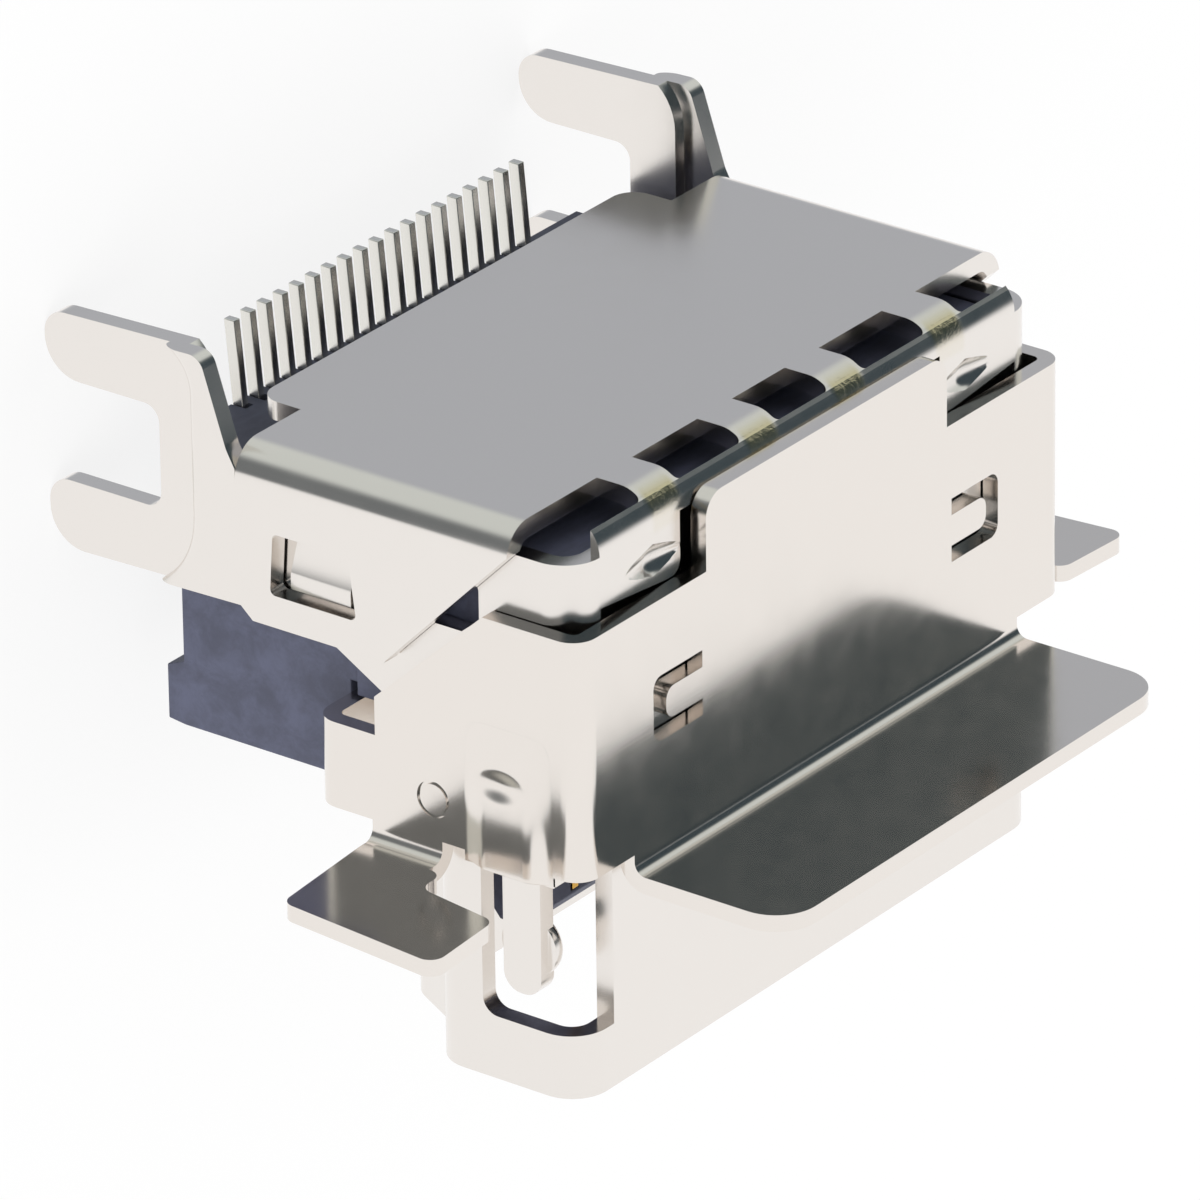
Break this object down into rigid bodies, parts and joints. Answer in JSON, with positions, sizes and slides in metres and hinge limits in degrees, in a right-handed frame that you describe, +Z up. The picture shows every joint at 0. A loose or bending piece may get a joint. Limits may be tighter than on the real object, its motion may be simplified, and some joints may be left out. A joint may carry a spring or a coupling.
{
  "type": "hdmi socket",
  "caption": "Board-mount HDMI socket with a plated mouth tube, an outer sleeve with panel flange and ears, fork legs and fine solder tails.",
  "frame": {"origin": "middle of the flat front foot of the housing, on the circuit board's surface, 5.4 mm behind the mouth plane", "axes": "+Z up off the board, the mouth faces -Y, the tails leave along +Y, X = 0 is the plane of symmetry"},
  "size_m": [0.0226, 0.0135, 0.0162],
  "materials": {
    "inner_plate": "bright nickel plate over rolled sheet, faint rolling grain",
    "outer_plate": "bright nickel plate, slightly warm, faint rolling grain",
    "housing_plastic": "matte glass-filled resin, dark blue-grey",
    "guide_plastic": "matte glass-filled resin, dark blue-grey",
    "contact_metal": "copper alloy strip, bright tin on the tails and gold in the mouth"
  },
  "bodies": {
    "root": {"inner_shell": "inner_plate", "outer_shell": "outer_plate", "housing": "housing_plastic", "tail_guide": "guide_plastic", "contact_01": "contact_metal", "contact_02": "contact_metal", "contact_03": "contact_metal", "contact_04": "contact_metal", "contact_05": "contact_metal", "contact_06": "contact_metal", "contact_07": "contact_metal", "contact_08": "contact_metal", "contact_09": "contact_metal", "contact_10": "contact_metal", "contact_11": "contact_metal", "contact_12": "contact_metal", "contact_13": "contact_metal", "contact_14": "contact_metal", "contact_15": "contact_metal", "contact_16": "contact_metal", "contact_17": "contact_metal", "contact_18": "contact_metal", "contact_19": "contact_metal"}
  },
  "joints": []
}
